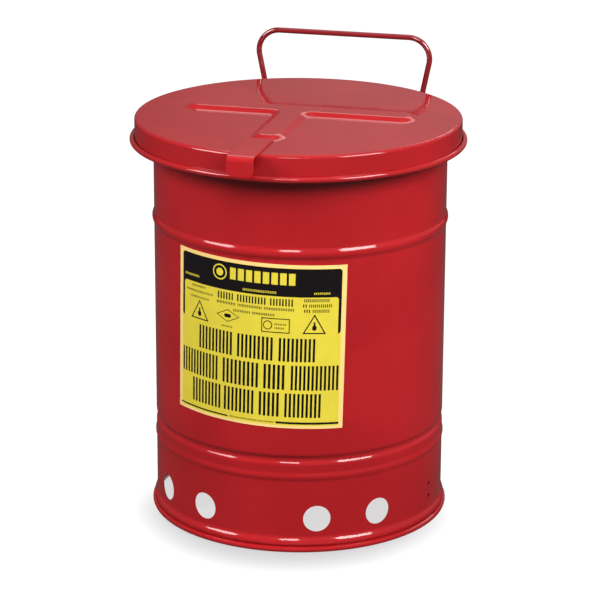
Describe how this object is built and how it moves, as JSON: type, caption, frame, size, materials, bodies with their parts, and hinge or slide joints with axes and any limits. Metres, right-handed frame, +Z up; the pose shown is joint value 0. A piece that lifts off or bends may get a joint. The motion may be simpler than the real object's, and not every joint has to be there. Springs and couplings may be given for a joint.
{
  "type": "oily waste can",
  "caption": "Round steel waste can on a raised, vented base, with a hinged lid that falls shut by itself, a lift tab at the front and a wire carrying handle at the back.",
  "frame": {"origin": "on the floor, at the axis of the round body", "axes": "+Z up; -Y to the front, where the lift tab is; +Y to the hinge and the handle; +X to the right of someone facing the front"},
  "size_m": [0.3454, 0.389, 0.466],
  "materials": {
    "red_powder_coat": "gloss",
    "label_vinyl": "satin",
    "zinc_plated_steel": "satin"
  },
  "bodies": {
    "can": {"body_shell": "red_powder_coat", "base_ring": "red_powder_coat", "bottom_pan": "red_powder_coat", "label": "label_vinyl", "hinge_bracket": "red_powder_coat", "hinge_backing_plate": "red_powder_coat", "hinge_bracket_rivets": "red_powder_coat", "hinge_pin": "zinc_plated_steel", "hinge_pin_push_nut": "zinc_plated_steel", "hinge_washers": "zinc_plated_steel", "lid_stop_bar": "red_powder_coat", "handle": "red_powder_coat", "handle_clamp_left": "red_powder_coat", "handle_clamp_right": "red_powder_coat", "handle_rivets": "red_powder_coat"},
    "lid": {"lid_cover": "red_powder_coat", "lift_tab": "red_powder_coat", "lid_hinge_leaf": "red_powder_coat", "lid_hinge_rivets": "red_powder_coat"}
  },
  "joints": [
    {"name": "lid_hinge", "type": "hinge", "parent": "can", "child": "lid", "pos_m": [0, 0.178, 0.404], "axis": [-1, 0, 0], "range_deg": [0, 60]}
  ]
}
